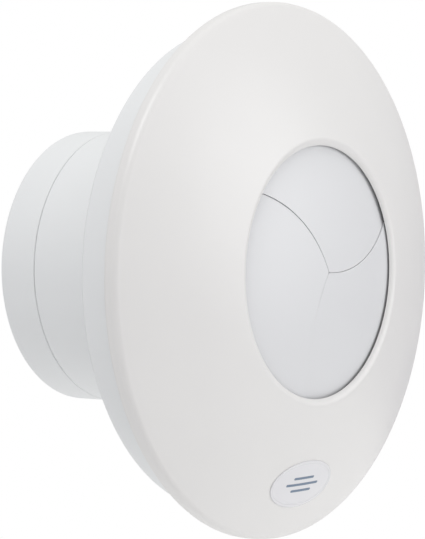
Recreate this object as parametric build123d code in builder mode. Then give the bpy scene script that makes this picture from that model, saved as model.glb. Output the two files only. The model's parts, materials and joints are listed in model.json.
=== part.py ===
from build123d import *
import os
from math import asin, atan2, cos, degrees, pi, radians, sin, sqrt

os.makedirs("parts", exist_ok=True)

# Axial extractor fan for a 100 mm duct with an automatic three-leaf iris shutter.
# Frame: the wall plane is y = 0, the duct runs toward +Y, the room side is -Y, +Z is up.
# Azimuths are measured from +X toward +Z, as seen from the room.

# ---- driving dimensions, mm -------------------------------------------------
COVER_R = 95.0            # outside radius of the domed cover
RIM_Y = -20.4             # plane of the widest circle of the cover
RIM_ROLL = 3.0            # radius of the rolled edge
DOME_R = 205.5            # outside radius of the dome
DOME_C = 160.0            # dome centre, on the axis behind the wall
COVER_T = 1.8
APERTURE_R = 44.5
LIP_W = 3.1               # width of the rounded lip around the aperture

SPIGOT_R = 49.5           # outside radius, slides into a 100 mm duct
SPIGOT_IN = 47.0
SPIGOT_ROOT_R = 49.9      # slight taper at the root, so it beds in the duct
SPIGOT_END = 66.0
COLLAR_Y = 50.0           # seam between the spigot and its rear collar

DRUM_R_FRONT = 88.0
DRUM_R_BACK = 86.0
WALL_T = 2.2
FLOOR_T = 3.0

LEAF_R = 202.8            # outside radius of a shutter leaf
LEAF_T = 1.6
LEAF_TILT = 1.3           # sideways shift of each leaf's own centre
LEAF_EDGE_R = 46.3        # leaf margin behind the cover lip
SEAM_R = 52.4             # radius of the curved seam between two leaves
SEAM_GAP = 0.36
ARM_OUT = 200.3           # arm layer behind the leaves
ARM_IN = 198.3
PIVOT_R = 60.0
PEG_ARM = 13.0            # pivot to drive peg
LEAF_SWING = 34.0         # degrees from shut to open
SEAM_AZ = [86.0, 206.0, 326.0]
PIVOT_LEAD = 85.0         # pivot azimuth ahead of the seam centre azimuth

RING_FRONT = -22.0
RING_T = 2.0
RING_IN = 66.5
GEAR_MODULE = 0.8
RING_TEETH = 190
PINION_TEETH = 10
PINION_AZ = 262.0
PLATE_FRONT = -19.5       # carrier plate that holds the leaves
PLATE_T = 2.0
PLATE_R = 83.0

MOTOR_R = 20.0
IMPELLER_R = 45.4
HUB_R = 19.0

PIVOT_AZ = [a + PIVOT_LEAD for a in SEAM_AZ]
PLATE_BACK = PLATE_FRONT + PLATE_T
RING_BACK = RING_FRONT + RING_T
RING_PITCH_R = GEAR_MODULE * RING_TEETH / 2
PINION_PITCH_R = GEAR_MODULE * PINION_TEETH / 2
PINION_C = RING_PITCH_R + PINION_PITCH_R + 0.08
CENTRE = Vector(0, DOME_C, 0)


# ---- helpers ----------------------------------------------------------------
def front(y):
    """Plane square to the axis, sketch x = X, sketch y = Z, extruding to the room."""
    return Plane(origin=(0, y, 0), x_dir=(1, 0, 0), z_dir=(0, -1, 0))


def polar(r, az):
    return (r * cos(radians(az)), r * sin(radians(az)))


def spots(r, azimuths):
    return [polar(r, a) for a in azimuths]


def tube(y_front, y_back, r_out, r_in=0.0, mode=Mode.ADD):
    with BuildSketch(front(y_back)) as outline:
        Circle(r_out)
        if r_in > 0:
            Circle(r_in, mode=Mode.SUBTRACT)
    extrude(outline.sketch, amount=y_back - y_front, mode=mode)


def posts(y_front, y_back, places, r, mode=Mode.ADD):
    with BuildSketch(front(y_back)) as outline:
        with Locations(*places):
            Circle(r)
    extrude(outline.sketch, amount=y_back - y_front, mode=mode)


def block(y_front, y_back, r, az, size_r, size_t, mode=Mode.ADD, corner=0.0):
    """Rectangle centred at (r, az): size_r along the radius, size_t across it."""
    with BuildSketch(front(y_back)) as outline:
        with Locations(Location((*polar(r, az), 0), (0, 0, az))):
            if corner > 0:
                RectangleRounded(size_r, size_t, corner)
            else:
                Rectangle(size_r, size_t)
    extrude(outline.sketch, amount=y_back - y_front, mode=mode)


def ray(r, az, radius):
    """Unit vector from the dome centre to the point at (r, az) on a concentric sphere."""
    x, z = polar(r, az)
    return Vector(x, -sqrt(radius ** 2 - r ** 2), z) * (1 / radius)


def ray_plane(direction, distance=0.0, az=0.0):
    """Plane on a ray of the dome centre, its x axis pointing outward at azimuth az."""
    x, z = polar(1.0, az)
    outward = Vector(x, 0, z)
    along = outward - direction * outward.dot(direction)
    return Plane(origin=CENTRE + direction * distance, x_dir=along, z_dir=direction)


def dome_ball(radius, centre=CENTRE):
    return Pos(centre.X, centre.Y, centre.Z) * Sphere(radius)


def core(direction, r, length=230.0):
    """Solid cylinder from the dome centre along a ray."""
    return extrude(ray_plane(direction) * Circle(r), amount=length)


def sector(r_in, r_out, az_mid, az_half):
    """Flat face between two radii and two azimuths."""
    a0 = radians(az_mid - az_half)
    a1 = radians(az_mid + az_half)
    am = radians(az_mid)
    with BuildLine() as edge:
        Line((r_in * cos(a0), r_in * sin(a0)), (r_out * cos(a0), r_out * sin(a0)))
        ThreePointArc((r_out * cos(a0), r_out * sin(a0)), (r_out * cos(am), r_out * sin(am)),
                      (r_out * cos(a1), r_out * sin(a1)))
        Line((r_out * cos(a1), r_out * sin(a1)), (r_in * cos(a1), r_in * sin(a1)))
        ThreePointArc((r_in * cos(a1), r_in * sin(a1)), (r_in * cos(am), r_in * sin(am)),
                      (r_in * cos(a0), r_in * sin(a0)))
    return make_face(edge.line)


def screw(y_head, places, r_head, head_t, r_shank, length):
    """Pan-head screws driven toward +Y with the head's underside at y_head."""
    posts(y_head - head_t, y_head, places, r_head)
    posts(y_head, y_head + length, places, r_shank)
    with BuildSketch(front(y_head - head_t)) as cross:
        with Locations(*places):
            Rectangle(r_head * 1.1, 0.7)
            Rectangle(0.7, r_head * 1.1)
    extrude(cross.sketch, amount=-0.8 * head_t, mode=Mode.SUBTRACT)


def tooth(radius, module, backlash=0.0):
    """Straight-flanked tooth pointing along +X from the root circle."""
    root = radius - 1.25 * module
    tip = radius + module
    at_pitch = pi * module / 4 - backlash / 2
    slope = 0.364
    return Polyline((root - 0.4, at_pitch + slope * 1.25 * module),
                    (root, at_pitch + slope * 1.25 * module),
                    (tip, at_pitch - slope * module),
                    (tip, -at_pitch + slope * module),
                    (root, -at_pitch - slope * 1.25 * module),
                    (root - 0.4, -at_pitch - slope * 1.25 * module), close=True)


def save(part, name):
    part.label = name
    export_step(part, "parts/" + name + ".step")


# ---- front cover ------------------------------------------------------------
roll_c = (COVER_R - RIM_ROLL, RIM_Y)
in_roll = RIM_ROLL - COVER_T


def dome_point(radius, r):
    return (r, DOME_C - sqrt(radius ** 2 - r ** 2))


def roll_tangent(radius):
    k = radius / (DOME_R - RIM_ROLL)
    return (roll_c[0] * k, DOME_C + (roll_c[1] - DOME_C) * k)


HOOK_AZ = [30.0, 150.0, 225.0, 315.0]
with BuildPart() as front_cover:
    with BuildSketch(Plane.XY):
        with BuildLine():
            lip_a = dome_point(DOME_R, APERTURE_R + LIP_W)
            lip_b = dome_point(DOME_R - COVER_T, APERTURE_R)
            t_out = roll_tangent(DOME_R)
            t_in = roll_tangent(DOME_R - COVER_T)
            roll_x = cos(radians(32))
            roll_y = sin(radians(32))
            ThreePointArc(lip_a, dome_point(DOME_R, 70), t_out)
            ThreePointArc(t_out, (roll_c[0] + RIM_ROLL * roll_x, RIM_Y - RIM_ROLL * roll_y),
                          (COVER_R, RIM_Y))
            Line((COVER_R, RIM_Y), (COVER_R, -18.4))
            Line((COVER_R, -18.4), (COVER_R - 0.8, -17.6))
            Line((COVER_R - 0.8, -17.6), (COVER_R - COVER_T, -17.6))
            Line((COVER_R - COVER_T, -17.6), (COVER_R - COVER_T, RIM_Y))
            ThreePointArc((COVER_R - COVER_T, RIM_Y),
                          (roll_c[0] + in_roll * roll_x, RIM_Y - in_roll * roll_y), t_in)
            ThreePointArc(t_in, dome_point(DOME_R - COVER_T, 70), lip_b)
            # soft lip around the aperture
            lip_slope = asin((APERTURE_R + LIP_W) / DOME_R)
            TangentArc(lip_a, lip_b, tangent=(-cos(lip_slope), -sin(lip_slope)))
        make_face()
    revolve(axis=Axis.Y)
    # snap hooks that reach back into the base
    for az in HOOK_AZ:
        block(-25.9, -11.9, 84.0, az, 1.2, 9.0)
        block(-13.4, -11.9, 85.4, az, 2.0, 9.0)
save(front_cover.part, "front_cover")

# oval badge carrier, follows the dome below the aperture
badge_dir = ray(75.0, 270.0, DOME_R)
badge_blank = extrude(ray_plane(badge_dir, 190.0, 0.0) * Ellipse(18.0, 9.0), amount=25.0)
badge_blank = badge_blank & (dome_ball(DOME_R + 0.4) - dome_ball(DOME_R + 0.005))
with BuildPart() as badge_plate:
    add(badge_blank)
save(badge_plate.part, "badge_plate")

# ---- iris leaves ------------------------------------------------------------
axis_out = Vector(0, -1, 0)
pivot_dirs = [ray(PIVOT_R, a, ARM_OUT) for a in PIVOT_AZ]
seam_dirs = [ray(SEAM_R, a, LEAF_R) for a in SEAM_AZ]
peg_arc = PEG_ARM / ARM_OUT


def peg_dir(k, swing):
    """Direction of leaf k's drive peg when it points swing degrees off the radius."""
    plane = ray_plane(pivot_dirs[k], 0.0, PIVOT_AZ[k])
    side = plane.x_dir * cos(radians(swing)) + plane.y_dir * sin(radians(swing))
    return pivot_dirs[k] * cos(peg_arc) + side * sin(peg_arc)


def leaf_shape(k):
    nxt = (k + 1) % 3
    mid = SEAM_AZ[k] - 5.0 + 90.0
    tx, tz = polar(LEAF_TILT, mid)
    own = CENTRE + Vector(tx, 0, tz)
    skin = dome_ball(LEAF_R, own) - dome_ball(LEAF_R - LEAF_T, own)
    body = skin & core(axis_out, LEAF_EDGE_R) & core(seam_dirs[k], SEAM_R - SEAM_GAP / 2)
    body = body - core(seam_dirs[nxt], SEAM_R + SEAM_GAP / 2)
    # arm behind the leaves, from under the leaf out to its pivot and drive peg
    plane = ray_plane(pivot_dirs[k], 0.0, PIVOT_AZ[k])
    root = ray(38.0, SEAM_AZ[k] + 38.0, ARM_OUT)
    local = plane.to_local_coords(CENTRE + root * ARM_OUT)
    turn = degrees(atan2(local.Y, local.X))
    reach = sqrt(local.X ** 2 + local.Y ** 2)
    link = plane * Pos(local.X / 2, local.Y / 2) * Rot(0, 0, turn) * SlotCenterToCenter(reach, 8.0)
    half = LEAF_SWING / 2
    lever = plane * Rot(0, 0, -half) * Pos(PEG_ARM / 2, 0) * SlotCenterToCenter(PEG_ARM, 6.6)
    shell = dome_ball(ARM_OUT) - dome_ball(ARM_IN)
    arm = shell & (extrude(link, amount=230) + extrude(lever, amount=230))
    joint_pad = (dome_ball(LEAF_R - LEAF_T + 0.6) - dome_ball(ARM_IN)) & core(root, 3.6)
    peg_ray = peg_dir(k, -half)
    tip = (DOME_C - RING_BACK + 0.4) / -peg_ray.Y
    peg = extrude(ray_plane(peg_ray, tip) * Circle(1.5), amount=ARM_IN + 0.5 - tip)
    body = body + arm + joint_pad + peg
    body = body - core(pivot_dirs[k], 1.56)
    seat = extrude(ray_plane(pivot_dirs[k], ARM_OUT - 1.0) * Circle(2.75), amount=10.0)
    return body - seat


leaf_blanks = [leaf_shape(k) for k in range(3)]

with BuildPart() as iris_leaf_1:
    add(leaf_blanks[0])
save(iris_leaf_1.part, "iris_leaf_1")

with BuildPart() as iris_leaf_2:
    add(leaf_blanks[1])
save(iris_leaf_2.part, "iris_leaf_2")

with BuildPart() as iris_leaf_3:
    add(leaf_blanks[2])
save(iris_leaf_3.part, "iris_leaf_3")

# headed pins that the leaves turn on, pressed into the carrier bosses
with BuildPart() as leaf_pivot_pins:
    for d in pivot_dirs:
        with BuildSketch(ray_plane(d, 190.0)):
            Circle(1.5)
        extrude(amount=ARM_OUT - 0.95 - 190.0)
        with BuildSketch(ray_plane(d, ARM_OUT - 0.95)):
            Circle(2.4)
        extrude(amount=0.75)
save(leaf_pivot_pins.part, "leaf_pivot_pins")

# ---- iris carrier -----------------------------------------------------------
CARRIER_SCREW_AZ = [128.0, 232.0, 352.0]
RETAINER_AZ = [82.0, 202.0, 322.0]
SHUTTER_MOTOR_C = polar(PINION_C - 8.7, PINION_AZ)
SHUTTER_EARS = [PINION_AZ - 90.0, PINION_AZ + 90.0]


def ear_spots(reach):
    out = []
    for a in SHUTTER_EARS:
        x, z = polar(reach, a)
        out.append((SHUTTER_MOTOR_C[0] + x, SHUTTER_MOTOR_C[1] + z))
    return out


with BuildPart() as iris_carrier:
    tube(PLATE_FRONT, PLATE_BACK, PLATE_R, 46.6)
    tube(-28.0, PLATE_BACK, 48.6, 46.6)
    # running guide for the drive ring
    tube(RING_FRONT, PLATE_FRONT, RING_IN - 0.08, RING_IN - 2.0)
    for d in pivot_dirs:
        foot = (DOME_C - PLATE_FRONT - 0.1) / -d.Y
        with BuildSketch(ray_plane(d, foot)):
            Circle(4.0)
        extrude(amount=ARM_IN - 0.35 - foot)
    for d in pivot_dirs:
        with BuildSketch(ray_plane(d, 190.0)):
            Circle(1.5)
        extrude(amount=10.0, mode=Mode.SUBTRACT)
    posts(PLATE_FRONT, PLATE_BACK, spots(78.0, CARRIER_SCREW_AZ), 1.6, Mode.SUBTRACT)
    posts(PLATE_FRONT, PLATE_BACK, spots(81.2, RETAINER_AZ), 1.0, Mode.SUBTRACT)
    posts(PLATE_FRONT, PLATE_BACK, [polar(PINION_C, PINION_AZ)], 2.6, Mode.SUBTRACT)
    posts(PLATE_FRONT, PLATE_BACK, ear_spots(14.0), 1.0, Mode.SUBTRACT)
save(iris_carrier.part, "iris_carrier")

with BuildPart() as carrier_screws:
    screw(PLATE_FRONT, spots(78.0, CARRIER_SCREW_AZ), 2.7, 1.8, 1.15, 10.0)
save(carrier_screws.part, "carrier_screws")

# ---- drive ring -------------------------------------------------------------
peg_shut = peg_dir(0, -LEAF_SWING / 2)
peg_az = degrees(atan2(peg_shut.Z, peg_shut.X)) - PIVOT_AZ[0]
peg_az = (peg_az + 180.0) % 360.0 - 180.0
peg_mid_r = (DOME_C - RING_FRONT - RING_T / 2) * sqrt(1 / peg_dir(0, 0.0).Y ** 2 - 1)
peg_far_r = (DOME_C - RING_FRONT - RING_T / 2) * sqrt(1 / peg_shut.Y ** 2 - 1)
TOOTH_PITCH = 360.0 / RING_TEETH
print("ring travel, degrees:", -2 * peg_az, "leaf/ring ratio:", LEAF_SWING / (-2 * peg_az))

ring_tooth = make_face(tooth(RING_PITCH_R, GEAR_MODULE, 0.25).edges())

with BuildPart() as drive_ring:
    tube(RING_FRONT, RING_BACK, RING_PITCH_R - 1.25 * GEAR_MODULE, RING_IN)
    with BuildSketch(front(RING_BACK)):
        for n in range(-7, 4):
            with Locations(Location((0, 0, 0), (0, 0, PINION_AZ + n * TOOTH_PITCH))):
                add(ring_tooth)
    extrude(amount=RING_T)
    for a in PIVOT_AZ:
        az = a + peg_az
        slot_c = (peg_mid_r + peg_far_r) / 2
        with BuildSketch(front(RING_BACK)):
            with Locations(Location((*polar(slot_c, az), 0), (0, 0, az))):
                SlotCenterToCenter(2.2, 3.34)
        extrude(amount=RING_T, mode=Mode.SUBTRACT)
save(drive_ring.part, "drive_ring")

# clips that keep the ring on the carrier plate
with BuildPart() as ring_retainers:
    for az in RETAINER_AZ:
        block(RING_FRONT - 0.3, PLATE_FRONT, 80.2, az, 5.0, 8.0)
        block(RING_FRONT - 1.0, RING_FRONT - 0.3, 78.1, az, 9.2, 8.0)
        posts(RING_FRONT - 1.0, PLATE_FRONT, spots(81.2, [az]), 1.0, Mode.SUBTRACT)
save(ring_retainers.part, "ring_retainers")

with BuildPart() as retainer_pins:
    for az in RETAINER_AZ:
        posts(RING_FRONT - 1.0, PLATE_BACK + 0.6, spots(81.2, [az]), 1.0)
save(retainer_pins.part, "retainer_pins")

# ---- shutter motor ----------------------------------------------------------
with BuildPart() as shutter_motor:
    posts(PLATE_BACK, -6.4, [SHUTTER_MOTOR_C], 11.0)
    with BuildSketch(front(PLATE_BACK + 1.2)):
        with Locations(Location((*SHUTTER_MOTOR_C, 0), (0, 0, PINION_AZ + 90.0))):
            SlotCenterToCenter(28.0, 5.6)
    extrude(amount=1.2)
    posts(PLATE_BACK, PLATE_BACK + 1.2, ear_spots(14.0), 1.2, Mode.SUBTRACT)
    with BuildSketch(front(-8.4)):
        with Locations(Location((*polar(PINION_C - 19.2, PINION_AZ), 0), (0, 0, PINION_AZ))):
            RectangleRounded(3.0, 9.0, 0.8)
    extrude(amount=6.0)
save(shutter_motor.part, "shutter_motor")

with BuildPart() as shutter_motor_screws:
    posts(PLATE_FRONT + 0.2, PLATE_BACK + 1.2, ear_spots(14.0), 0.95)
    posts(PLATE_BACK + 1.2, PLATE_BACK + 2.2, ear_spots(14.0), 1.9)
save(shutter_motor_screws.part, "shutter_motor_screws")

pinion_tooth = make_face(tooth(PINION_PITCH_R, GEAR_MODULE, 0.3).edges())

with BuildPart() as shutter_pinion:
    centre = polar(PINION_C, PINION_AZ)
    posts(RING_FRONT - 0.2, RING_BACK + 0.2, [centre], PINION_PITCH_R - 1.25 * GEAR_MODULE)
    posts(RING_FRONT - 0.2, PLATE_BACK, [centre], 1.5)
    with BuildSketch(front(RING_BACK + 0.2)):
        for n in range(PINION_TEETH):
            turn = PINION_AZ + 180.0 + 18.0 + 36.0 * n
            with Locations(Location((*centre, 0), (0, 0, turn))):
                add(pinion_tooth)
    extrude(amount=RING_T + 0.4)
save(shutter_pinion.part, "shutter_pinion")

# ---- base housing -----------------------------------------------------------
STRUT_AZ = [90.0, 210.0, 330.0]
WALL_HOLE_AZ = [45.0, 135.0, 225.0, 315.0]
WALL_HOLE_R = 70.0
BOARD_POSTS = [(71.0, 67.0), (71.0, 113.0), (58.0, 90.0)]
board_spots = [polar(r, a) for r, a in BOARD_POSTS]
CABLE_AZ = 160.0
CABLE_R = 70.0
CLAMP_AZ = 178.0
TERMINAL_AZ = 195.0

FLOOR_R = DRUM_R_BACK - WALL_T - 2.4
with BuildPart() as base_drum:
    with BuildSketch(Plane.XY):
        Polygon((FLOOR_R, -FLOOR_T), (DRUM_R_BACK - WALL_T, -FLOOR_T),
                (DRUM_R_FRONT - WALL_T, -19.0), (92.4, -19.0), (92.4, -17.4),
                (DRUM_R_FRONT, -17.4), (DRUM_R_BACK, -1.5), (DRUM_R_BACK - 1.5, 0.0),
                (FLOOR_R, 0.0), align=None)
    revolve(axis=Axis.Y)
    # windows for the cover hooks
    for az in HOOK_AZ:
        block(-13.9, -11.4, 87.0, az, 6.0, 10.0, Mode.SUBTRACT)
save(base_drum.part, "base_drum")

with BuildPart() as base_plate:
    tube(-FLOOR_T, 0.0, FLOOR_R, SPIGOT_ROOT_R)
    posts(PLATE_BACK, -2.0, spots(78.0, CARRIER_SCREW_AZ), 3.2)
    posts(-11.0, -2.0, board_spots, 2.6)
    posts(-12.5, -2.0, spots(WALL_HOLE_R, WALL_HOLE_AZ), 5.4)
    # fixing and cable openings
    posts(-12.5, 0.0, spots(WALL_HOLE_R, WALL_HOLE_AZ), 2.3, Mode.SUBTRACT)
    posts(-12.5, -4.0, spots(WALL_HOLE_R, WALL_HOLE_AZ), 4.3, Mode.SUBTRACT)
    posts(-FLOOR_T, 0.0, [polar(CABLE_R, CABLE_AZ)], 5.5, Mode.SUBTRACT)
    posts(PLATE_BACK, -9.0, spots(78.0, CARRIER_SCREW_AZ), 1.2, Mode.SUBTRACT)
    posts(-11.0, -5.0, board_spots, 1.0, Mode.SUBTRACT)
    # groove for the wall seal
    tube(-1.4, 0.0, 80.6, 77.0, Mode.SUBTRACT)
save(base_plate.part, "base_plate")

# the spigot is welded into the base and carries the iris on its front edge
with BuildPart() as spigot_tube:
    with BuildSketch(Plane.XY):
        Polygon((SPIGOT_IN, PLATE_BACK), (SPIGOT_ROOT_R, PLATE_BACK), (SPIGOT_ROOT_R, 0.0),
                (SPIGOT_R, 3.0), (SPIGOT_R, COLLAR_Y), (SPIGOT_IN, COLLAR_Y), align=None)
    revolve(axis=Axis.Y)
    block(PLATE_BACK, -14.4, 48.2, 90.0, 4.0, 14.4, Mode.SUBTRACT)
save(spigot_tube.part, "spigot_tube")

bracket_trim = extrude(front(0.0) * Circle(SPIGOT_IN), amount=20.0)

with BuildPart() as motor_bracket:
    for az in STRUT_AZ:
        block(-14.0, -6.0, 37.0, az, 22.0, 4.0)
    tube(-14.0, -6.0, 27.0, MOTOR_R + 0.4)
    posts(-14.0, -7.0, spots(24.0, STRUT_AZ), 1.2, Mode.SUBTRACT)
    add(bracket_trim, mode=Mode.INTERSECT)
save(motor_bracket.part, "motor_bracket")

with BuildPart() as wall_seal:
    tube(-1.4, 0.0, 80.6, 77.0)
save(wall_seal.part, "wall_seal")

# ---- rear collar ------------------------------------------------------------
with BuildPart() as rear_collar:
    with BuildSketch(Plane.XY):
        Polygon((SPIGOT_IN - 1.4, COLLAR_Y - 4.0), (SPIGOT_IN, COLLAR_Y - 4.0),
                (SPIGOT_IN, COLLAR_Y), (SPIGOT_R, COLLAR_Y), (SPIGOT_R, SPIGOT_END - 1.0),
                (SPIGOT_R - 1.0, SPIGOT_END), (SPIGOT_IN - 1.4, SPIGOT_END), align=None)
    revolve(axis=Axis.Y)
save(rear_collar.part, "rear_collar")

# straightening vanes around a small hub, snapped into the collar
vane_trim = extrude(front(65.0) * Circle(SPIGOT_IN - 1.4), amount=12.0)
hub_bore = extrude(front(65.0) * Circle(8.4), amount=12.0)

with BuildPart() as outlet_vanes:
    tube(54.0, 64.0, 10.0)
    for n in range(6):
        block(54.0, 64.0, 28.0, 30.0 + 60.0 * n, 38.0, 1.5)
    add(vane_trim, mode=Mode.INTERSECT)
    add(hub_bore, mode=Mode.SUBTRACT)
save(outlet_vanes.part, "outlet_vanes")

# ---- fan motor --------------------------------------------------------------
with BuildPart() as motor_front_shell:
    tube(-24.0, -7.0, MOTOR_R, MOTOR_R - 1.8)
    tube(-24.0, -22.2, MOTOR_R, 3.0)
    tube(-22.2, -17.0, 5.6, 4.0)
    for az in STRUT_AZ:
        block(-15.6, -14.0, 22.8, az, 9.0, 6.6, corner=1.0)
    posts(-15.6, -14.0, spots(24.0, STRUT_AZ), 1.6, Mode.SUBTRACT)
    for n in range(8):
        block(-24.0, -22.2, 12.0, 22.5 + 45.0 * n, 7.0, 2.0, Mode.SUBTRACT)
save(motor_front_shell.part, "motor_front_shell")

with BuildPart() as motor_rear_shell:
    tube(-7.0, 10.0, MOTOR_R, MOTOR_R - 1.8)
    tube(8.4, 10.0, MOTOR_R, 4.0)
    tube(4.4, 8.4, 5.6, 4.0)
save(motor_rear_shell.part, "motor_rear_shell")

with BuildPart() as stator_core:
    tube(-12.0, 1.0, MOTOR_R - 1.8, 15.0)
    for n in range(6):
        block(-12.0, 1.0, 12.8, 60.0 * n, 5.6, 3.6)
    tube(-12.0, 1.0, 11.2, 10.0)
save(stator_core.part, "stator_core")

with BuildPart() as stator_windings:
    tube(-15.4, -12.0, 15.0, 11.2)
    tube(1.0, 4.0, 15.0, 11.2)
    fillet(stator_windings.edges().filter_by(GeomType.CIRCLE), radius=0.8)
save(stator_windings.part, "stator_windings")

with BuildPart() as motor_bearings:
    tube(-22.2, -17.6, 4.0, 1.63)
    tube(4.6, 9.4, 4.0, 1.63)
save(motor_bearings.part, "motor_bearings")

with BuildPart() as rotor_shaft:
    tube(-22.0, 39.6, 1.6)
    tube(-12.0, 1.0, 9.4)
save(rotor_shaft.part, "rotor_shaft")

with BuildPart() as motor_screws:
    screw(-15.6, spots(24.0, STRUT_AZ), 2.4, 1.5, 1.2, 7.6)
save(motor_screws.part, "motor_screws")

# ---- impeller ---------------------------------------------------------------
def blade_plane(r, az, pitch):
    """Plane facing outward at radius r, its x axis pitched off the plane of rotation."""
    x, z = polar(1.0, az)
    outward = Vector(x, 0, z)
    around = Vector(-z, 0, x)
    chord = around * cos(radians(pitch)) + Vector(0, 1, 0) * sin(radians(pitch))
    return Plane(origin=(x * r, 24.0, z * r), x_dir=chord, z_dir=outward)


BLADES = 7
blade_trim = extrude(front(40.0) * Circle(IMPELLER_R), amount=30.0)
hub_void = extrude(front(33.9) * Circle(HUB_R - 1.8), amount=23.0)
hub_void = hub_void - extrude(front(33.9) * Circle(4.2), amount=23.0)

with BuildPart() as impeller:
    tube(11.6, 36.0, HUB_R, HUB_R - 1.8)
    tube(34.0, 36.0, HUB_R, 1.6)
    tube(22.0, 34.0, 4.2, 1.6)
    for n in range(BLADES):
        az = 360.0 / BLADES * n
        with BuildSketch(blade_plane(HUB_R - 1.0, az, 46.0)):
            Ellipse(10.0, 1.3)
        with BuildSketch(blade_plane(33.0, az + 5.0, 36.0)):
            Ellipse(12.2, 1.1)
        with BuildSketch(blade_plane(IMPELLER_R + 0.8, az + 12.0, 28.0)):
            Ellipse(13.6, 0.9)
        loft()
    add(blade_trim, mode=Mode.INTERSECT)
    add(hub_void, mode=Mode.SUBTRACT)
save(impeller.part, "impeller")

with BuildPart() as impeller_nut:
    with BuildSketch(front(38.6)):
        RegularPolygon(3.6, 6)
        Circle(1.6, mode=Mode.SUBTRACT)
    extrude(amount=2.6)
save(impeller_nut.part, "impeller_nut")

# ---- electronics ------------------------------------------------------------
board_face = sector(54.0, 74.6, 90.0, 27.0)
lid_face = sector(52.0, 76.4, 90.0, 29.5)
lid_void = sector(53.2, 75.2, 90.0, 28.4)

with BuildPart() as circuit_board:
    with BuildSketch(front(-11.0)):
        add(board_face)
    extrude(amount=1.6)
    posts(-12.6, -11.0, board_spots, 1.3, Mode.SUBTRACT)
save(circuit_board.part, "circuit_board")

with BuildPart() as board_screws:
    screw(-12.6, board_spots, 2.0, 0.9, 0.95, 6.0)
save(board_screws.part, "board_screws")

with BuildPart() as board_capacitor:
    block(-10.8, -3.4, 66.0, 96.0, 8.0, 17.0, corner=1.0)
    block(-11.0, -10.8, 66.0, 96.0, 6.0, 15.0)
save(board_capacitor.part, "board_capacitor")

with BuildPart() as board_relay:
    block(-11.0, -4.0, 66.0, 78.0, 9.0, 12.0, corner=0.6)
save(board_relay.part, "board_relay")

with BuildPart() as motor_connector:
    block(-15.2, -12.6, 60.4, 84.4, 5.0, 6.0)
save(motor_connector.part, "motor_connector")

with BuildPart() as electronics_lid:
    with BuildSketch(front(-FLOOR_T)):
        add(lid_face)
        add(lid_void, mode=Mode.SUBTRACT)
    extrude(amount=13.0)
    with BuildSketch(front(-16.0)):
        add(lid_face)
    extrude(amount=1.2)
    block(-16.0, -13.4, 52.6, 90.0, 3.4, 14.4, Mode.SUBTRACT)
    block(-9.6, -FLOOR_T, 61.0, 119.0, 6.0, 6.0, Mode.SUBTRACT)
save(electronics_lid.part, "electronics_lid")

with BuildPart() as terminal_block:
    block(-14.0, -FLOOR_T, 66.0, TERMINAL_AZ, 16.0, 22.0, corner=0.8)
    term_spots = []
    for offset in [-6.6, 0.0, 6.6]:
        x, z = polar(66.0, TERMINAL_AZ)
        dx, dz = polar(offset, TERMINAL_AZ + 90.0)
        term_spots.append((x + dx, z + dz))
    posts(-14.0, -10.0, term_spots, 2.1, Mode.SUBTRACT)
save(terminal_block.part, "terminal_block")

with BuildPart() as terminal_screws:
    posts(-12.6, -10.0, term_spots, 1.8)
    with BuildSketch(front(-12.6)):
        with Locations(*[Location((x, z, 0), (0, 0, 20)) for x, z in term_spots]):
            Rectangle(3.0, 0.6)
    extrude(amount=-1.0, mode=Mode.SUBTRACT)
save(terminal_screws.part, "terminal_screws")

clamp_spots = []
for offset in [-7.2, 7.2]:
    clamp_spots.append(polar(70.0 + offset * 0.62, CLAMP_AZ))
with BuildPart() as cable_clamp:
    block(-9.0, -FLOOR_T, 70.0, CLAMP_AZ, 13.0, 6.0, corner=0.8)
    posts(-9.0, -FLOOR_T, clamp_spots, 1.2, Mode.SUBTRACT)
save(cable_clamp.part, "cable_clamp")

with BuildPart() as cable_grommet:
    centre = polar(CABLE_R, CABLE_AZ)
    posts(-FLOOR_T - 1.4, -FLOOR_T, [centre], 7.2)
    posts(-FLOOR_T, 0.0, [centre], 5.5)
    posts(-FLOOR_T - 1.4, 0.0, [centre], 3.6, Mode.SUBTRACT)
save(cable_grommet.part, "cable_grommet")

with BuildPart() as clamp_screws:
    screw(-9.0, clamp_spots, 2.0, 1.2, 1.2, 5.6)
save(clamp_screws.part, "clamp_screws")


# ---- wiring -----------------------------------------------------------------
def arc_wire(r, az0, az1, y, lift, wire_r):
    """Lead that follows the drum at radius r and turns up into the board."""
    p0 = Vector(polar(r, az0)[0], y, polar(r, az0)[1])
    pm = Vector(polar(r, (az0 + az1) / 2)[0], y, polar(r, (az0 + az1) / 2)[1])
    p1 = Vector(polar(r, az1)[0], y, polar(r, az1)[1])
    run = ThreePointArc(p0, pm, p1)
    start = Plane(origin=p0, z_dir=run % 0)
    lead = sweep(start * Circle(wire_r), path=run)
    knee = Pos(p1.X, p1.Y, p1.Z) * Sphere(wire_r)
    rise = extrude(Plane(origin=p1, z_dir=(0, -1, 0)) * Circle(wire_r), amount=lift)
    return lead + knee + rise


supply_a = arc_wire(60.0, 184.2, 108.0, -7.0, 4.0, 0.75)
supply_b = arc_wire(62.4, 184.6, 108.0, -7.0, 4.0, 0.75)

with BuildPart() as supply_leads:
    add(supply_a)
    add(supply_b)
save(supply_leads.part, "supply_leads")


def fan_lead(x):
    """Lead from the motor shell along the top strut, over the spigot edge to the board."""
    z0 = sqrt(MOTOR_R ** 2 - (x - 0.7) ** 2)
    path = Polyline((x, -15.8, z0), (x, -15.8, 50.0), (x, -14.2, 54.5), (x, -14.2, 57.3))
    return sweep(Plane(origin=(x, -15.8, z0), z_dir=(0, 0, 1)) * Circle(0.7), path=path,
                 transition=Transition.ROUND)


fan_a = fan_lead(4.3)
fan_b = fan_lead(5.8)

with BuildPart() as fan_leads:
    add(fan_a)
    add(fan_b)
save(fan_leads.part, "fan_leads")
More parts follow.
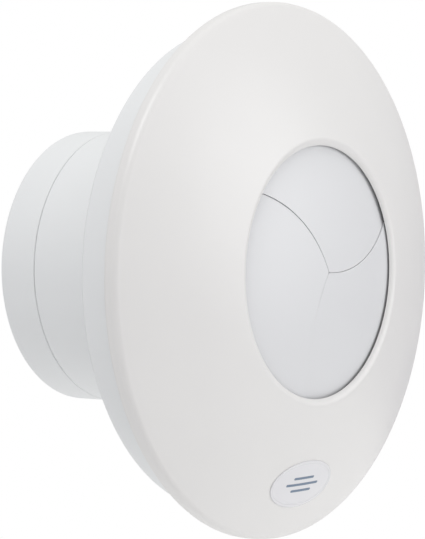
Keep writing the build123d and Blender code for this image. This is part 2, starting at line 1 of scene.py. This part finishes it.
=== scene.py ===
import bpy
import bmesh
import json
from math import asin, cos, pi, radians, sin, sqrt
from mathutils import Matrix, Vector


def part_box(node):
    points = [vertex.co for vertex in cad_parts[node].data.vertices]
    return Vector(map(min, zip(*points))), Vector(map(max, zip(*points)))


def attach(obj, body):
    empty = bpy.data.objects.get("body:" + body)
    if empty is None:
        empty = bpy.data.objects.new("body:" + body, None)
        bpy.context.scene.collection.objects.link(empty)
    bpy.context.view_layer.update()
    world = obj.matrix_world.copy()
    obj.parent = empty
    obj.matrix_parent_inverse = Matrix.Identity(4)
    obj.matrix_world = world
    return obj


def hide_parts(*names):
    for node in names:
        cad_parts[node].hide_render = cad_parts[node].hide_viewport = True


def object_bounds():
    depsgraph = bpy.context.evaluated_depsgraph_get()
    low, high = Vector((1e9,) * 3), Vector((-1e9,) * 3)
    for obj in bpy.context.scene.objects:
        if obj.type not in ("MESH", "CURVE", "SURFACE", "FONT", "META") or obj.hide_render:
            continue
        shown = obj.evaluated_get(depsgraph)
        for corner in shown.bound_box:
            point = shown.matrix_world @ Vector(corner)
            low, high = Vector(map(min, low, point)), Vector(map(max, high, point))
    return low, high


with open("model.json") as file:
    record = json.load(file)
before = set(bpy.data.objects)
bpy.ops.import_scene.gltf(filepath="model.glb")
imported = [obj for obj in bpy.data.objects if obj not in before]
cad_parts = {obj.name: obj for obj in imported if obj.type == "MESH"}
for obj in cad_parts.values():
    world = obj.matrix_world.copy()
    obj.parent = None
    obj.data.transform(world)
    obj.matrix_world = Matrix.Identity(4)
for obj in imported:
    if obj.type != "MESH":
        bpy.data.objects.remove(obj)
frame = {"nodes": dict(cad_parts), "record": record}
cad_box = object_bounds()
nodes = frame["nodes"]

# ---- sizes taken from the frame, metres ---------------------------------------
cover_lo, cover_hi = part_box("front_cover")
spigot_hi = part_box("spigot_tube")[1]
collar_lo, collar_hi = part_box("rear_collar")

COVER_R = (cover_hi[2] - cover_lo[2]) / 2
COVER_BACK = -0.0176      # back edge of the cover's skirt, its hooks reach further
SEAM_Y = spigot_hi[1]
END_Y = collar_hi[1]
SPIGOT_R_OUT = (collar_hi[2] - collar_lo[2]) / 2
DOME_R = 0.2055           # outside radius of the dome
DOME_C = 0.160            # its centre, on the fan's axis behind the wall
COVER_T = 0.0018
APERTURE_R = 0.0445
LIP_W = 0.0031            # width of the rounded lip round the aperture
ROLL = 0.003              # radius of the rolled rim
RIM_Y = -0.0204           # plane of the cover's widest circle
dome_centre = Vector((0.0, DOME_C, 0.0))


# ---- materials -----------------------------------------------------------------
def new_material(name):
    mat = bpy.data.materials.new(name)
    mat.use_nodes = True
    tree = mat.node_tree
    return mat, tree, tree.nodes["Principled BSDF"]


def noise(tree, scale, detail):
    coord = tree.nodes.new("ShaderNodeTexCoord")
    tex = tree.nodes.new("ShaderNodeTexNoise")
    tex.inputs["Scale"].default_value = scale
    tex.inputs["Detail"].default_value = detail
    tree.links.new(coord.outputs["Object"], tex.inputs["Vector"])
    return tex


def ramp(tree, source, stops):
    node = tree.nodes.new("ShaderNodeValToRGB")
    while len(node.color_ramp.elements) < len(stops):
        node.color_ramp.elements.new(0.5)
    for item, (pos, col) in zip(node.color_ramp.elements, stops):
        item.position = pos
        item.color = (*col, 1.0)
    tree.links.new(source, node.inputs["Fac"])
    return node


def shade(col, k):
    return tuple(min(1.0, c * k) for c in col)


def moulded(name, col, rough, grain, bump, vary):
    """Moulded or painted part: slow colour drift, fine grain, uneven gloss."""
    mat, tree, bsdf = new_material(name)
    slow = noise(tree, 14.0, 2.0)
    tint = ramp(tree, slow.outputs["Fac"], [(0.3, shade(col, 1 - vary)), (0.7, shade(col, 1 + vary))])
    tree.links.new(tint.outputs["Color"], bsdf.inputs["Base Color"])
    gloss = noise(tree, 60.0, 4.0)
    span = tree.nodes.new("ShaderNodeMapRange")
    span.inputs["To Min"].default_value = rough - 0.05
    span.inputs["To Max"].default_value = rough + 0.06
    tree.links.new(gloss.outputs["Fac"], span.inputs["Value"])
    tree.links.new(span.outputs["Result"], bsdf.inputs["Roughness"])
    fine = noise(tree, grain, 2.0)
    height = tree.nodes.new("ShaderNodeBump")
    height.inputs["Strength"].default_value = bump
    height.inputs["Distance"].default_value = 0.0002
    tree.links.new(fine.outputs["Fac"], height.inputs["Height"])
    tree.links.new(height.outputs["Normal"], bsdf.inputs["Normal"])
    bsdf.inputs["IOR"].default_value = 1.5
    bsdf.inputs["Specular IOR Level"].default_value = 0.45
    return mat


def metal(name, col, rough=0.3, scratch=220.0, squash=(1.0, 18.0, 1.0)):
    """Plated or machined metal with fine drawn marks."""
    mat, tree, bsdf = new_material(name)
    coord = tree.nodes.new("ShaderNodeTexCoord")
    stretch = tree.nodes.new("ShaderNodeMapping")
    stretch.inputs["Scale"].default_value = squash
    tex = tree.nodes.new("ShaderNodeTexNoise")
    tex.inputs["Scale"].default_value = scratch
    tex.inputs["Detail"].default_value = 5.0
    tree.links.new(coord.outputs["Object"], stretch.inputs["Vector"])
    tree.links.new(stretch.outputs["Vector"], tex.inputs["Vector"])
    tint = ramp(tree, tex.outputs["Fac"], [(0.25, shade(col, 0.82)), (0.75, shade(col, 1.08))])
    tree.links.new(tint.outputs["Color"], bsdf.inputs["Base Color"])
    span = tree.nodes.new("ShaderNodeMapRange")
    span.inputs["To Min"].default_value = rough - 0.08
    span.inputs["To Max"].default_value = rough + 0.12
    tree.links.new(tex.outputs["Fac"], span.inputs["Value"])
    tree.links.new(span.outputs["Result"], bsdf.inputs["Roughness"])
    bsdf.inputs["Metallic"].default_value = 1.0
    return mat


def cellular(name, col):
    """Closed-cell foam or soft rubber: small pits and no gloss."""
    mat, tree, bsdf = new_material(name)
    coord = tree.nodes.new("ShaderNodeTexCoord")
    cells = tree.nodes.new("ShaderNodeTexVoronoi")
    cells.inputs["Scale"].default_value = 1400.0
    tree.links.new(coord.outputs["Object"], cells.inputs["Vector"])
    tint = ramp(tree, cells.outputs["Distance"], [(0.0, shade(col, 0.6)), (0.6, shade(col, 1.3))])
    tree.links.new(tint.outputs["Color"], bsdf.inputs["Base Color"])
    height = tree.nodes.new("ShaderNodeBump")
    height.inputs["Strength"].default_value = 0.5
    height.inputs["Distance"].default_value = 0.0003
    tree.links.new(cells.outputs["Distance"], height.inputs["Height"])
    tree.links.new(height.outputs["Normal"], bsdf.inputs["Normal"])
    bsdf.inputs["Roughness"].default_value = 0.85
    return mat


COVER_WHITE = (0.732, 0.724, 0.712)
BASE_WHITE = (0.75, 0.762, 0.765)
LEAF_WHITE = (0.675, 0.68, 0.69)
mats = {
    "cover_white": moulded("abs_cover", COVER_WHITE, 0.34, 1100.0, 0.03, 0.012),
    "leaf_white": moulded("abs_leaf", LEAF_WHITE, 0.38, 1100.0, 0.03, 0.012),
    "base_white": moulded("abs_base", BASE_WHITE, 0.42, 800.0, 0.06, 0.015),
    "badge": moulded("badge_face", (0.715, 0.712, 0.728), 0.22, 700.0, 0.02, 0.02),
    "print": moulded("badge_print", (0.16, 0.22, 0.30), 0.35, 900.0, 0.05, 0.10),
    "carrier_grey": moulded("abs_carrier", (0.62, 0.62, 0.61), 0.48, 700.0, 0.08, 0.03),
    "acetal": moulded("acetal", (0.80, 0.80, 0.77), 0.30, 600.0, 0.04, 0.02),
    "impeller_grey": moulded("abs_impeller", (0.50, 0.515, 0.53), 0.40, 700.0, 0.06, 0.03),
    "lid_grey": moulded("abs_lid", (0.36, 0.37, 0.38), 0.5, 600.0, 0.12, 0.04),
    "connector": moulded("nylon_connector", (0.78, 0.78, 0.72), 0.45, 700.0, 0.06, 0.03),
    "component": moulded("film_capacitor", (0.62, 0.42, 0.08), 0.35, 500.0, 0.05, 0.06),
    "board": moulded("solder_resist", (0.02, 0.13, 0.05), 0.25, 300.0, 0.10, 0.25),
    "lead": moulded("wire_jacket", (0.05, 0.12, 0.36), 0.45, 900.0, 0.08, 0.10),
    "motor_case": moulded("motor_paint", (0.055, 0.058, 0.062), 0.42, 500.0, 0.15, 0.12),
    "steel": metal("zinc_steel", (0.60, 0.60, 0.58), 0.30),
    "lamination": metal("lamination", (0.24, 0.24, 0.26), 0.45, 400.0, (1.0, 40.0, 1.0)),
    "copper": metal("winding", (0.62, 0.25, 0.09), 0.34, 300.0, (1.0, 30.0, 1.0)),
    "bronze": metal("bronze", (0.50, 0.33, 0.14), 0.42),
    "brass": metal("brass", (0.72, 0.52, 0.22), 0.28),
    "foam": cellular("seal_foam", (0.035, 0.035, 0.037)),
    "rubber": cellular("grommet_rubber", (0.02, 0.02, 0.021)),
}


slot_of = {s["node"]: s["material_slot"] for s in frame["record"]["subparts"]}
for name, obj in nodes.items():
    for entry in obj.material_slots:
        entry.material = mats[slot_of[name]]


# ---- mesh helpers ----------------------------------------------------------------
def arc(cx, cy, r, a0, a1, n):
    """Points of an arc, degrees."""
    pts = []
    for i in range(n + 1):
        a = radians(a0 + (a1 - a0) * i / n)
        pts.append((cx + r * cos(a), cy + r * sin(a)))
    return pts


def closed_mesh(name, bm):
    bmesh.ops.recalc_face_normals(bm, faces=bm.faces)
    mesh = bpy.data.meshes.new(name)
    bm.to_mesh(mesh)
    bm.free()
    return mesh


def skin_rings(bm, rings, closed=False):
    """Quads between neighbouring rings of points, each ring closed on itself."""
    pairs = list(zip(rings, rings[1:]))
    if closed:
        pairs.append((rings[-1], rings[0]))
    n = len(rings[0])
    for one, two in pairs:
        for j in range(n):
            k = (j + 1) % n
            bm.faces.new((one[j], one[k], two[k], two[j]))


def skin_rod(bm, rings):
    """Closed solid along a run of rings, with a flat face at either end."""
    skin_rings(bm, rings)
    bm.faces.new(rings[0])
    bm.faces.new(rings[-1][::-1])


def piece(name, mesh, key, body="housing", sharp=35.0):
    obj = bpy.data.objects.new(name, mesh)
    bpy.context.scene.collection.objects.link(obj)
    mesh.polygons.foreach_set("use_smooth", [True] * len(mesh.polygons))
    mesh.set_sharp_from_angle(angle=radians(sharp))
    mesh.materials.append(mats[key])
    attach(obj, body)
    return obj


def lathe(name, profile, seg):
    """Closed (r, y) profile turned about the Y axis."""
    bm = bmesh.new()
    rings = []
    for i in range(seg):
        a = 2 * pi * i / seg
        rings.append([bm.verts.new((r * cos(a), y, r * sin(a))) for r, y in profile])
    skin_rings(bm, rings, closed=True)
    return closed_mesh(name, bm)


def dome_y(radius, r):
    return DOME_C - sqrt(radius * radius - r * r)


# ---- front cover -------------------------------------------------------------------
CORNER_OUT = 0.0008       # rounding of the skirt's back edge, outside and inside
CORNER_IN = 0.0003


def cover_lip():
    """Arc from the dome's edge down to the inside of the aperture, flush with the dome."""
    ax, ay = APERTURE_R + LIP_W, dome_y(DOME_R, APERTURE_R + LIP_W)
    bx, by = APERTURE_R, dome_y(DOME_R - COVER_T, APERTURE_R)
    lean = asin(ax / DOME_R)
    tx, ty = -cos(lean), -sin(lean)
    nx, ny = -ty, tx
    dx, dy = bx - ax, by - ay
    if dx * nx + dy * ny < 0:
        nx, ny = -nx, -ny
    rad = (dx * dx + dy * dy) / (2 * (dx * nx + dy * ny))
    cx, cy = ax + nx * rad, ay + ny * rad
    sweep = 2 * asin(sqrt(dx * dx + dy * dy) / (2 * rad))
    pts = []
    for i in range(1, 12):
        a = sweep * i / 12
        pts.append((cx - nx * rad * cos(a) + tx * rad * sin(a),
                    cy - ny * rad * cos(a) + ty * rad * sin(a)))
    return pts


def cover_profile():
    """Outside of the dome, rolled rim, skirt, inside of the dome, lip."""
    roll_r = COVER_R - ROLL
    slope = asin(roll_r / (DOME_R - ROLL)) * 180 / pi
    inner = DOME_R - COVER_T
    skirt_in = COVER_R - COVER_T
    outside = APERTURE_R + LIP_W
    roll_out = roll_r * DOME_R / (DOME_R - ROLL)
    roll_in = roll_r * inner / (DOME_R - ROLL)
    steps = 40
    pts = []
    for i in range(steps + 1):
        r = outside + (roll_out - outside) * i / steps
        pts.append((r, dome_y(DOME_R, r)))
    pts += arc(roll_r, RIM_Y, ROLL, -90 + slope, 0, 14)[1:]
    pts += arc(COVER_R - CORNER_OUT, COVER_BACK - CORNER_OUT, CORNER_OUT, 0, 90, 5)
    pts += arc(skirt_in + CORNER_IN, COVER_BACK - CORNER_IN, CORNER_IN, 90, 180, 3)
    pts += arc(roll_r, RIM_Y, ROLL - COVER_T, 0, -90 + slope, 8)
    for i in range(1, steps + 1):
        r = roll_in + (APERTURE_R - roll_in) * i / steps
        pts.append((r, dome_y(inner, r)))
    return pts + cover_lip()[::-1]


cover = piece("cover_shell", lathe("cover_shell", cover_profile(), 320), "cover_white")
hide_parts("front_cover")

# ---- rear collar, rounded where it meets the spigot ---------------------------------
SEAM_ROUND = 0.0005
GROOVE_W = 0.00045        # shadow line between the spigot and the collar
LIP_R = SPIGOT_R_OUT - 0.0025          # outside of the lip that slides into the spigot
COLLAR_IN = LIP_R - 0.0014
END_ROUND = 0.0012
INNER_ROUND = 0.0006
groove_y = SEAM_Y + GROOVE_W
collar_profile = [(COLLAR_IN, collar_lo[1]), (LIP_R, collar_lo[1]), (LIP_R, groove_y)]
collar_profile += arc(SPIGOT_R_OUT - SEAM_ROUND, groove_y + SEAM_ROUND, SEAM_ROUND, -90, 0, 5)
collar_profile += arc(SPIGOT_R_OUT - END_ROUND, END_Y - END_ROUND, END_ROUND, 0, 90, 7)
collar_profile += arc(COLLAR_IN + INNER_ROUND, END_Y - INNER_ROUND, INNER_ROUND, 90, 180, 4)
collar = piece("collar_ring", lathe("collar_ring", collar_profile, 256), "base_white")
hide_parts("rear_collar")

# ---- badge ---------------------------------------------------------------------------
BADGE_R = 0.075           # how far below the fan's axis the badge sits
BADGE_HALF_U = 0.018
BADGE_HALF_V = 0.009
badge_dir = Vector((0.0, -sqrt(DOME_R ** 2 - BADGE_R ** 2), -BADGE_R)).normalized()
badge_u = Vector((1.0, 0.0, 0.0))
badge_v = badge_dir.cross(badge_u)


def on_dome(u, v, lift):
    """Point over the badge's own (u, v) position, lift above the dome's skin."""
    radius = DOME_R + lift
    flat = badge_u * u + badge_v * v
    reach = sqrt(radius ** 2 - flat.length_squared)
    return dome_centre + badge_dir * reach + flat


def badge_mesh(name, section, seg=120):
    """Oval disc: section lists (inset from the edge, lift) from the foot to the middle."""
    bm = bmesh.new()
    rings = []
    for inset, lift in section:
        ring = []
        for i in range(seg):
            t = 2 * pi * i / seg
            u = (BADGE_HALF_U - inset) * cos(t)
            v = (BADGE_HALF_V - inset) * sin(t)
            ring.append(bm.verts.new(on_dome(u, v, lift)))
        rings.append(ring)
    skin_rod(bm, rings)
    return closed_mesh(name, bm)


# a low raised edge round a floor that steps inward across the dome
badge_edge = [(0.0, 0.00001), (0.0, 0.00022), (0.00008, 0.00034), (0.0002, 0.0004),
              (0.0008, 0.0004), (0.001, 0.00034), (0.00115, 0.00022)]
badge_floor = [(inset, 0.0002) for inset in (0.0013, 0.0025, 0.0045, 0.0070, 0.0088)]
badge = piece("badge_oval", badge_mesh("badge_oval", badge_edge + badge_floor), "badge", sharp=50.0)
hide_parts("badge_plate")


PRINT_TOP = 0.00024       # lift of the print's face and of its foot over the dome
PRINT_FOOT = 0.0001
BAR_HALF = 0.00045        # half the height of a printed bar
BAR_TIP = 0.00002         # what is left of it at the very end


def print_bar(bm, mid_v, half_u, steps=24):
    """Level printed bar with round ends, following the dome."""
    rings = []
    for i in range(steps + 1):
        u = -half_u * cos(pi * i / steps)
        over = max(0.0, abs(u) - (half_u - BAR_HALF))
        tall = sqrt(max(0.0, BAR_HALF ** 2 - over ** 2)) + BAR_TIP
        rings.append([bm.verts.new(on_dome(u, mid_v - tall, PRINT_TOP)),
                      bm.verts.new(on_dome(u, mid_v + tall, PRINT_TOP)),
                      bm.verts.new(on_dome(u, mid_v + tall, PRINT_FOOT)),
                      bm.verts.new(on_dome(u, mid_v - tall, PRINT_FOOT))])
    skin_rod(bm, rings)


# a plain ventilation sign: three level bars, the middle one the longest
bm = bmesh.new()
for mid_v, half_u in ((0.0024, 0.0060), (0.0, 0.0095), (-0.0024, 0.0060)):
    print_bar(bm, mid_v, half_u)
piece("badge_mark", closed_mesh("badge_mark", bm), "print")

# ---- snap hooks on the cover ------------------------------------------------------------
HOOK_AZ = (30.0, 150.0, 225.0, 315.0)
HOOK_HALF = 0.0045        # half of a hook's width
HOOK_END = -0.0119


def rounded_box(bm, lo, hi, az, soft):
    """Box between two (radius, y, across) corners, turned to azimuth az."""
    made = bmesh.ops.create_cube(bm, size=1.0)["verts"]
    edges = {e for v in made for e in v.link_edges}
    for v in made:
        v.co = Vector([l + (h - l) * (c + 0.5) for l, h, c in zip(lo, hi, v.co)])
    bmesh.ops.bevel(bm, geom=list(edges), offset=soft, segments=3, profile=0.5, affect="EDGES")
    turn = radians(az)
    for v in bm.verts:
        if v.tag:
            continue
        r, y, across = v.co
        v.co = Vector((r * cos(turn) - across * sin(turn), y, r * sin(turn) + across * cos(turn)))
        v.tag = True


bm = bmesh.new()
for az in HOOK_AZ:
    rounded_box(bm, (0.0834, -0.0259, -HOOK_HALF), (0.0846, HOOK_END, HOOK_HALF), az, 0.0003)
    rounded_box(bm, (0.0844, -0.0134, -HOOK_HALF), (0.0864, HOOK_END, HOOK_HALF), az, 0.0004)
piece("cover_hooks", closed_mesh("cover_hooks", bm), "cover_white")

# ---- rounded beads along the leaves' meeting edges ---------------------------------------
SEAM_AZ = (86.0, 206.0, 326.0)
SEAM_R = 0.0524           # radius of the curved seam between two leaves
SEAM_HALF = 0.00018       # half of the gap between them
LEAF_R = 0.2028
LEAF_T = 0.0016
LEAF_TILT = 0.0013        # sideways shift of each leaf's own centre
TILT_LEAD = 85.0          # azimuth of that shift, ahead of the leaf's seam
LEAF_REACH = 0.0459       # the beads end under the cover's lip
BEAD_W = 0.00011
BEAD_ROOT = 0.00005       # how far the bead goes into the leaf
BEAD_SKIN = 0.00001       # how far it stays under the leaf's faces
BEAD_ROUND = 0.0001


def seam_axis(k):
    az = radians(SEAM_AZ[k % 3])
    flat = Vector((SEAM_R * cos(az), 0.0, SEAM_R * sin(az)))
    return (flat + Vector((0.0, -sqrt(LEAF_R ** 2 - SEAM_R ** 2), 0.0))) / LEAF_R


def off_axis(point, axis):
    rel = point - dome_centre
    return (rel - axis * rel.dot(axis)).length


def seam_point(axis, turn, reach, centre, radius):
    """Point at distance reach from a seam's axis, on the sphere of the leaf's own skin."""
    side = Vector((1.0, 0.0, 0.0))
    side = (side - axis * side.dot(axis)).normalized()
    over = axis.cross(side)
    foot = dome_centre + (side * cos(turn) + over * sin(turn)) * reach - centre
    along = foot.dot(axis)
    rise = -along + sqrt(along ** 2 - foot.length_squared + radius ** 2)
    return foot + centre + axis * rise


def bead(bm, k, seam, other, outward):
    """Bead on leaf k's edge at a seam; outward is +1 on the convex edge, -1 on the other."""
    mid = radians(SEAM_AZ[k] + TILT_LEAD)
    centre = dome_centre + Vector((LEAF_TILT * cos(mid), 0.0, LEAF_TILT * sin(mid)))
    axis, rival = seam_axis(seam), seam_axis(other)
    edge = SEAM_R - outward * SEAM_HALF
    tip = edge + outward * BEAD_W
    root = edge - outward * BEAD_ROOT
    shoulder = tip - outward * 0.3 * BEAD_ROUND
    top, low = LEAF_R - BEAD_SKIN, LEAF_R - LEAF_T + BEAD_SKIN
    section = [(root, top), (edge, top), (shoulder, top - 0.3 * BEAD_ROUND),
               (tip, top - BEAD_ROUND), (tip, low + BEAD_ROUND), (edge, low), (root, low)]
    steps = 1440
    on_leaf = []
    for i in range(steps):
        p = seam_point(axis, 2 * pi * i / steps, edge, centre, LEAF_R)
        clear = (off_axis(p, rival) - SEAM_R) * outward > SEAM_HALF
        on_leaf.append(clear and sqrt(p.x ** 2 + p.z ** 2) < LEAF_REACH)
    i = next(n for n in range(steps) if on_leaf[n] and not on_leaf[n - 1])
    rings = []
    while on_leaf[i % steps]:
        turn = 2 * pi * i / steps
        rings.append([bm.verts.new(seam_point(axis, turn, s, centre, r)) for s, r in section])
        i += 2
    skin_rod(bm, rings)


for k in range(3):
    bm = bmesh.new()
    bead(bm, k, k, k + 1, 1.0)
    bead(bm, k, k + 1, k, -1.0)
    name = "leaf_bead_%d" % (k + 1)
    piece(name, closed_mesh(name, bm), "leaf_white", "leaf_%d" % (k + 1), 50.0)

# ---- camera ------------------------------------------------------------------------
CAM_TURN = radians(53.77)     # how far left of the fan's own axis the camera stands
CAM_LIFT = radians(2.46)      # and how far above it
CAM_REACH = 1.075
CAM_AIM = Vector((-0.0038, 0.0052, 0.0))
away = Vector((-sin(CAM_TURN) * cos(CAM_LIFT), -cos(CAM_TURN) * cos(CAM_LIFT), sin(CAM_LIFT)))
cam_data = bpy.data.cameras.new("camera")
cam_data.lens = 200.3
cam_data.sensor_width = 36.0
cam_data.clip_end = 50.0
cam = bpy.data.objects.new("camera", cam_data)
cam.location = away * CAM_REACH
cam.rotation_euler = (CAM_AIM - cam.location).to_track_quat("-Z", "Y").to_euler()
bpy.context.scene.collection.objects.link(cam)
bpy.context.scene.camera = cam


# ---- floor and light -----------------------------------------------------------------
FLOOR_DROP = 0.35         # the fan hangs this far above the floor
FLOOR_R = 1.6


def area(name, spot, size, power):
    """Round soft light aimed at the fan."""
    data = bpy.data.lights.new(name, "AREA")
    data.shape = "DISK"
    data.size = size
    data.energy = power
    lamp = bpy.data.objects.new(name, data)
    lamp.location = spot
    lamp.rotation_euler = (-Vector(spot)).to_track_quat("-Z", "Y").to_euler()
    bpy.context.scene.collection.objects.link(lamp)


mat, tree, bsdf = new_material("floor_paper")
paper = noise(tree, 3.0, 2.0)
tone = ramp(tree, paper.outputs["Fac"], [(0.3, (0.93, 0.93, 0.93)), (0.7, (0.95, 0.95, 0.95))])
tree.links.new(tone.outputs["Color"], bsdf.inputs["Base Color"])
bsdf.inputs["Roughness"].default_value = 0.9
bm = bmesh.new()
bmesh.ops.create_circle(bm, cap_ends=True, segments=96, radius=FLOOR_R)
floor_mesh = bpy.data.meshes.new("floor")
bm.to_mesh(floor_mesh)
bm.free()
floor_mesh.materials.append(mat)
floor = bpy.data.objects.new("floor", floor_mesh)
floor.location = (0.0, 0.0, cad_box[0][2] - FLOOR_DROP)
bpy.context.scene.collection.objects.link(floor)

# a white room seen by the camera, and a softer one, darker toward the ground, that lights
world = bpy.data.worlds.new("studio")
world.use_nodes = True
tree = world.node_tree
shown = tree.nodes["Background"]
shown.inputs["Color"].default_value = (1.0, 1.0, 1.0, 1.0)
shown.inputs["Strength"].default_value = 1.0
coord = tree.nodes.new("ShaderNodeTexCoord")
split = tree.nodes.new("ShaderNodeSeparateXYZ")
tree.links.new(coord.outputs["Generated"], split.inputs["Vector"])
height = tree.nodes.new("ShaderNodeMapRange")
height.inputs["From Min"].default_value = -1.0
height.inputs["From Max"].default_value = 1.0
tree.links.new(split.outputs["Z"], height.inputs["Value"])
glow = ramp(tree, height.outputs["Result"], [(0.0, (0.08, 0.07, 0.12)), (0.42, (0.23, 0.22, 0.27)),
                                             (0.62, (0.66, 0.66, 0.66)), (1.0, (0.80, 0.80, 0.80))])
soft = tree.nodes.new("ShaderNodeBackground")
soft.inputs["Strength"].default_value = 1.0
tree.links.new(glow.outputs["Color"], soft.inputs["Color"])
path = tree.nodes.new("ShaderNodeLightPath")
mix = tree.nodes.new("ShaderNodeMixShader")
tree.links.new(path.outputs["Is Camera Ray"], mix.inputs["Fac"])
tree.links.new(soft.outputs["Background"], mix.inputs[1])
tree.links.new(shown.outputs["Background"], mix.inputs[2])
tree.links.new(mix.outputs["Shader"], tree.nodes["World Output"].inputs["Surface"])
bpy.context.scene.world = world
bpy.context.scene.view_settings.view_transform = "Standard"

area("key", (-0.9, -0.2, 1.5), 1.0, 13.0)
area("fill", (0.9, -1.4, 0.3), 1.2, 10.0)
